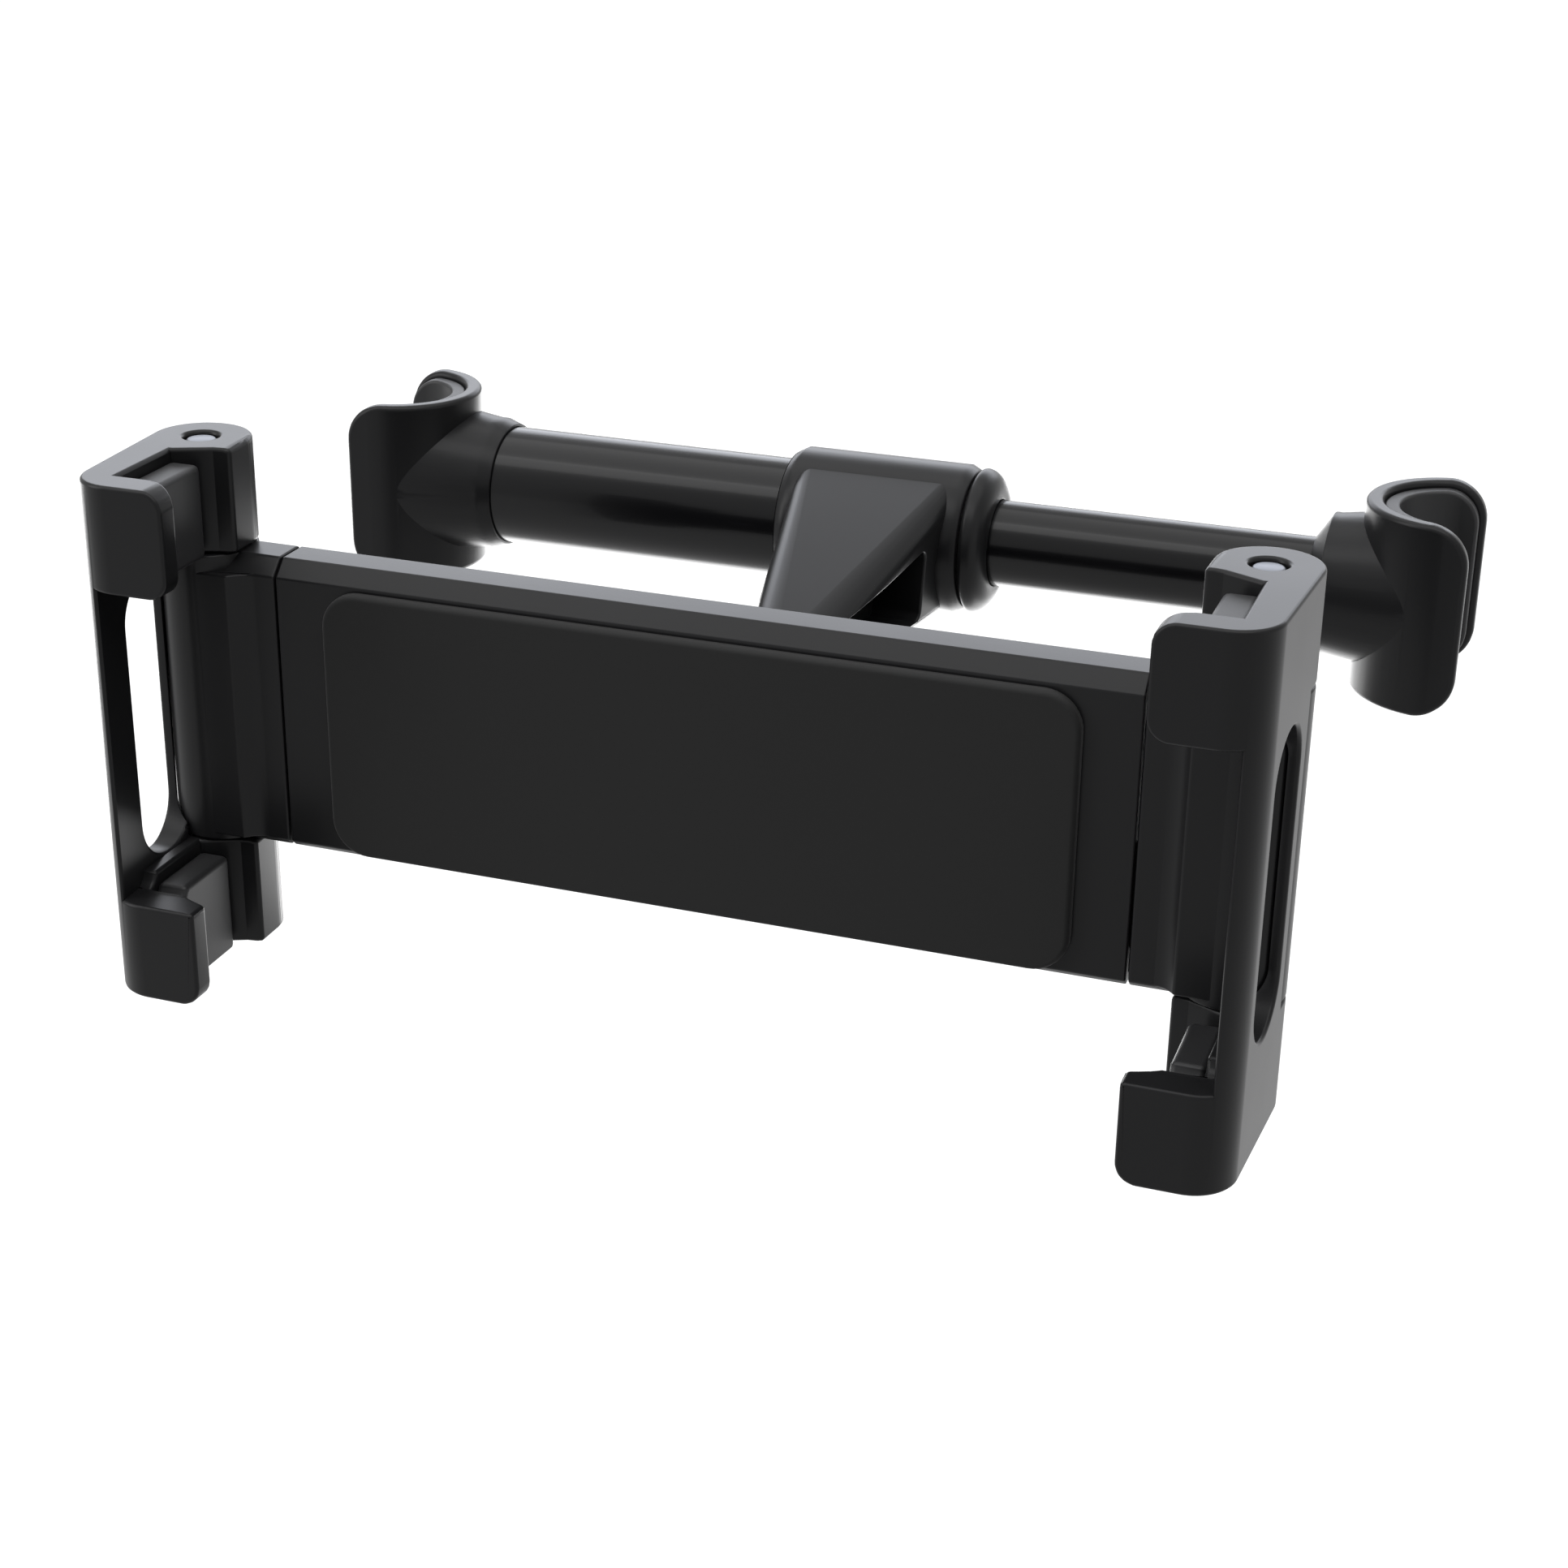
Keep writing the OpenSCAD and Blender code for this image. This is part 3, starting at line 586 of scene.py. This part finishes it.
@dataclass
class ClampBar(SubAssembly):
    """The clamp's centre body with its pad, cover, screws and springs.

    Attributes:
        shell_edge_mm: Radius of the front shell's edges.
        cover_edge_mm: Radius of the rear cover's edges.
        pad_corner: Corner radius of the face pad.
        pad_rim: Rounding of the face pad's front edge.
        corner_faces: Faces round a corner of the pad.
        rim_faces: Faces across the pad's rim.
        coil_turns: Turns of a return spring.
        wire: Radius of the springs' wire.
        wire_faces: Faces round the wire.
        turn_steps: Steps in a turn of a spring.
    """

    shell_edge_mm: float = 0.25
    cover_edge_mm: float = 0.3
    pad_corner: float = 5.0 * MM
    pad_rim: float = 0.7 * MM
    corner_faces: int = 10
    rim_faces: int = 4
    coil_turns: int = 60
    wire: float = 0.3 * MM
    wire_faces: int = 8
    turn_steps: int = 16

    def pad(self) -> None:
        """Makes the soft face pad with round corners and a rounded rim."""
        low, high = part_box("face_pad")
        mesh = box_mesh(low, high)
        upright = [e for e in mesh.edges if abs((e.verts[0].co - e.verts[1].co).y) > 0.5 * MM]
        bmesh.ops.bevel(
            mesh,
            geom=upright,
            offset=self.pad_corner,
            affect="EDGES",
            segments=self.corner_faces,
            profile=0.5,
            material=-1,
        )
        front = [e for e in mesh.edges if all(v.co.y < low.y + 0.01 * MM for v in e.verts)]
        bmesh.ops.bevel(
            mesh,
            geom=front,
            offset=self.pad_rim,
            affect="EDGES",
            segments=self.rim_faces,
            profile=0.5,
            material=-1,
        )
        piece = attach(self.place(mesh, "face_pad_skin", SILICONE, ("face_pad",)), "clamp")

    def coil(self, side: Side) -> None:
        """Winds one return spring at its CAD node's length; the real spring stretches as its slide comes
        out, but this coil stays fixed.

        Args:
            side: The slide that it pulls on.
        """
        node = f"{side.word}_spring"
        low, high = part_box(node)
        middle = (low + high) / 2
        start = Vector((low.x + self.wire, middle.y, middle.z))
        radius = (high.z - low.z) / 2 - self.wire
        steps = self.coil_turns * self.turn_steps
        mesh = bmesh.new()
        ring = bmesh.ops.create_circle(
            mesh,
            segments=self.wire_faces,
            radius=self.wire,
            matrix=Matrix.Translation(start + Z_AXIS * radius) @ Matrix.Rotation(math.pi / 2, 4, "X"),
        )["verts"]
        bmesh.ops.spin(
            mesh,
            geom=ring + list(mesh.edges),
            cent=start,
            axis=X_AXIS,
            dvec=X_AXIS * ((high.x - low.x - 2 * self.wire) / steps),
            angle=math.tau * self.coil_turns,
            steps=steps,
            use_merge=False,
            use_duplicate=False,
        )
        bmesh.ops.holes_fill(mesh, edges=[e for e in mesh.edges if e.is_boundary], sides=self.wire_faces)
        bmesh.ops.recalc_face_normals(mesh, faces=mesh.faces)
        piece = self.place(mesh, f"{node}_coil", SPRING_WIRE, (node,), sharp=60.0)
        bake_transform(piece)

    def build(self) -> None:
        """Makes every piece of the centre body."""
        self.rounded("front_shell", SATIN_ABS, "clamp", self.shell_edge_mm)
        self.rounded("rear_cover", SATIN_ABS, "clamp", self.cover_edge_mm)
        self.dress("cover_screws", GROUND_STEEL)
        self.pad()
        for side in Side:
            self.coil(side)


@dataclass
class JawEnd(SubAssembly):
    """A sliding end of the bar with its hinge pin and folding jaw.

    Attributes:
        side: The end of the bar.
        slide_edge_mm: Radius of the slide's edges.
        jaw_edge_mm: Radius of the jaw's edges.
        block_edge_mm: Radius of the soft blocks' edges.
        pin_dome: Rounding of the pin's ends.
        pin_steps: Faces round the pin.
    """

    side: Side = Side.LEFT
    slide_edge_mm: float = 0.3
    jaw_edge_mm: float = 0.5
    block_edge_mm: float = 0.8
    pin_dome: float = 0.4 * MM
    pin_steps: int = 48

    def pin(self) -> None:
        """Turns the hinge pin with rounded ends."""
        node = f"{self.side.word}_pin"
        low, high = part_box(node)
        middle = (low + high) / 2
        mesh = lathe(
            [(low.z, 0.0), (low.z, high.x - middle.x), (high.z, high.x - middle.x), (high.z, 0.0)],
            Vector((middle.x, middle.y, 0.0)),
            Z_AXIS,
            self.pin_steps,
            closed=False,
        )
        round_edges(mesh, self.pin_dome)
        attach(self.place(mesh, f"{node}_skin", GROUND_STEEL, (node,)), f"{self.side.word}_slide")

    def build(self) -> None:
        """Makes every piece of this end."""
        word = self.side.word
        self.rounded(f"{word}_slide", SATIN_ABS, f"{word}_slide", self.slide_edge_mm)
        self.rounded(f"{word}_jaw", SATIN_ABS, f"{word}_jaw", self.jaw_edge_mm)
        for level in ("upper", "lower"):
            self.rounded(f"{word}_{level}_block", SOFT_TPE, f"{word}_jaw", self.block_edge_mm)
        self.pin()


# Studio


def background_rays(tree: bpy.types.NodeTree) -> bpy.types.NodeSocket:
    """Picks the rays that see the white background.

    Args:
        tree: The node tree of the floor's material or of the world.

    Returns:
        A socket that is one for camera, transmission and glossy rays.
    """
    rays = add_node(tree, "ShaderNodeLightPath").outputs
    straight = add_node(
        tree,
        "ShaderNodeMath",
        links={0: rays["Is Camera Ray"], 1: rays["Is Transmission Ray"]},
        operation="MAXIMUM",
    )
    return add_node(
        tree,
        "ShaderNodeMath",
        links={0: straight.outputs[0], 1: rays["Is Glossy Ray"]},
        operation="MAXIMUM",
    ).outputs[0]


@dataclass
class Studio:
    """The floor, the soft lights and the camera at the photo's angle.

    Attributes:
        focal_mm: Focal length on a 36 mm sensor.
        camera_at: Camera position.
        yaw: Turn to the left of +Y in degrees.
        pitch: Turn down in degrees.
        roll: Roll in degrees.
        floor_drop: Gap between the object's lowest point and the floor.
        floor_size: Width of the floor.
        floor_colour: Its paint, as other pieces are lit by it.
        room_colour: Colour of the room's even light.
        room_light: Strength of that light.
    """

    focal_mm: float = 62.84
    camera_at: tuple[float, float, float] = (0.11586, -0.38401, 0.12981)
    yaw: float = 19.14
    pitch: float = 23.28
    roll: float = -0.85
    floor_drop: float = 0.06
    floor_size: float = 12.0
    floor_colour: str = "#7a7a7a"
    room_colour: str = "#c9ccd2"
    room_light: float = 0.14

    def camera(self) -> None:
        """Makes the camera from the angles that the photo gave."""
        y, p, r = (math.radians(a) for a in (self.yaw, self.pitch, self.roll))
        ahead = Vector((-math.sin(y) * math.cos(p), math.cos(y) * math.cos(p), -math.sin(p)))
        right = Vector((math.cos(y), math.sin(y), 0.0))
        down = ahead.cross(right)
        right, down = right * math.cos(r) + down * math.sin(r), down * math.cos(r) - right * math.sin(r)
        data = bpy.data.cameras.new("photo_camera")
        data.lens, data.sensor_width = self.focal_mm, 36.0
        data.clip_start, data.clip_end = 0.01, 50.0
        camera = bpy.data.objects.new("photo_camera", data)
        turn = Matrix((right, -down, -ahead)).transposed().to_4x4()
        camera.matrix_world = Matrix.Translation(self.camera_at) @ turn
        bpy.context.scene.collection.objects.link(camera)
        bpy.context.scene.camera = camera

    def panel(
        self,
        name: str,
        at: tuple[float, float, float],
        size: tuple[float, float],
        watts: float,
        colour: str = WHITE,
        aim: tuple[float, float, float] = (0.0, -0.05, 0.0),
    ) -> None:
        """Hangs a soft light.

        Args:
            name: The light's name.
            at: Its position.
            size: Its width and height.
            watts: Its power.
            colour: Its colour as sRGB hex.
            aim: The point that it faces.
        """
        data = bpy.data.lights.new(name, "AREA")
        data.shape, data.size, data.size_y = "RECTANGLE", *size
        data.energy, data.color = watts, linear(colour)[:3]
        lamp = bpy.data.objects.new(name, data)
        lamp.location = at
        lamp.rotation_mode = "QUATERNION"
        lamp.rotation_quaternion = (Vector(at) - Vector(aim)).to_track_quat("Z", "Y")
        lamp.visible_camera = False
        bpy.context.scene.collection.objects.link(lamp)

    def floor(self) -> None:
        """Lays a plain pale floor that looks white to the camera and in reflections."""
        mesh = bmesh.new()
        bmesh.ops.create_grid(
            mesh,
            x_segments=1,
            y_segments=1,
            size=self.floor_size / 2,
            matrix=Matrix.Translation((0, 0, CAD_BOX[0].z - self.floor_drop)),
        )
        data = bpy.data.meshes.new("floor")
        mesh.to_mesh(data)
        mesh.free()
        floor = bpy.data.objects.new("floor", data)
        bpy.context.scene.collection.objects.link(floor)
        material = bpy.data.materials.new("pale_floor")
        material.use_nodes = True
        tree = material.node_tree
        tree.nodes.clear()
        seen = background_rays(tree)
        glow = add_node(
            tree,
            "ShaderNodeEmission",
            {"Color": linear(WHITE)},
            {"Strength": seen},
        )
        paint = add_node(tree, "ShaderNodeBsdfDiffuse", {"Color": linear(self.floor_colour)})
        both = add_node(tree, "ShaderNodeAddShader", links={0: glow.outputs[0], 1: paint.outputs[0]})
        add_node(tree, "ShaderNodeOutputMaterial", links={"Surface": both.outputs[0]})
        data.materials.append(material)

    def world(self) -> None:
        """Fills the room with a dim even light that looks white to the camera and in reflections."""
        world = bpy.data.worlds.new("room")
        world.use_nodes = True
        tree = world.node_tree
        tree.nodes.clear()
        seen = background_rays(tree)
        dim = add_node(
            tree, "ShaderNodeBackground", {"Color": linear(self.room_colour), "Strength": self.room_light}
        )
        white = add_node(tree, "ShaderNodeBackground", {"Color": linear(WHITE), "Strength": 1.0})
        pick = add_node(
            tree,
            "ShaderNodeMixShader",
            links={0: seen, 1: dim.outputs[0], 2: white.outputs[0]},
        )
        add_node(tree, "ShaderNodeOutputWorld", links={"Surface": pick.outputs[0]})
        bpy.context.scene.world = world

    def build(self) -> None:
        """Sets up the view, the lights and the floor."""
        self.camera()
        self.world()
        self.floor()
        self.panel("back_panel", (-0.3, 1.1, 0.42), (1.6, 0.5), 8.0, "#edf1fb")
        self.panel("top_panel", (0.0, 0.1, 1.1), (1.8, 1.1), 10.0)
        self.panel("front_top_panel", (0.0, -0.5, 1.0), (1.6, 0.4), 6.5)
        self.panel("under_panel", (-0.235, 0.34, -0.1), (0.6, 0.61), 5.0, aim=(-0.235, 0.34, 1.0))
        self.panel("left_panel", (-1.0, -0.6, 0.5), (0.6, 0.9), 7.0)
        self.panel("right_panel", (1.1, -0.25, 0.3), (0.4, 0.8), 0.5)


def main() -> None:
    logging.basicConfig(level=logging.INFO, format="%(name)s %(message)s")
    scene = bpy.context.scene
    scene.view_settings.view_transform = "Standard"
    Studio().build()
    for part in (Rail(), NeckAndBall(), ClampBar(), JawEnd(side=Side.LEFT), JawEnd(side=Side.RIGHT)):
        part.build()
        LOG.info("%s has %d new pieces", type(part).__name__, len(part.pieces))


if __name__ == "__main__":
    main()
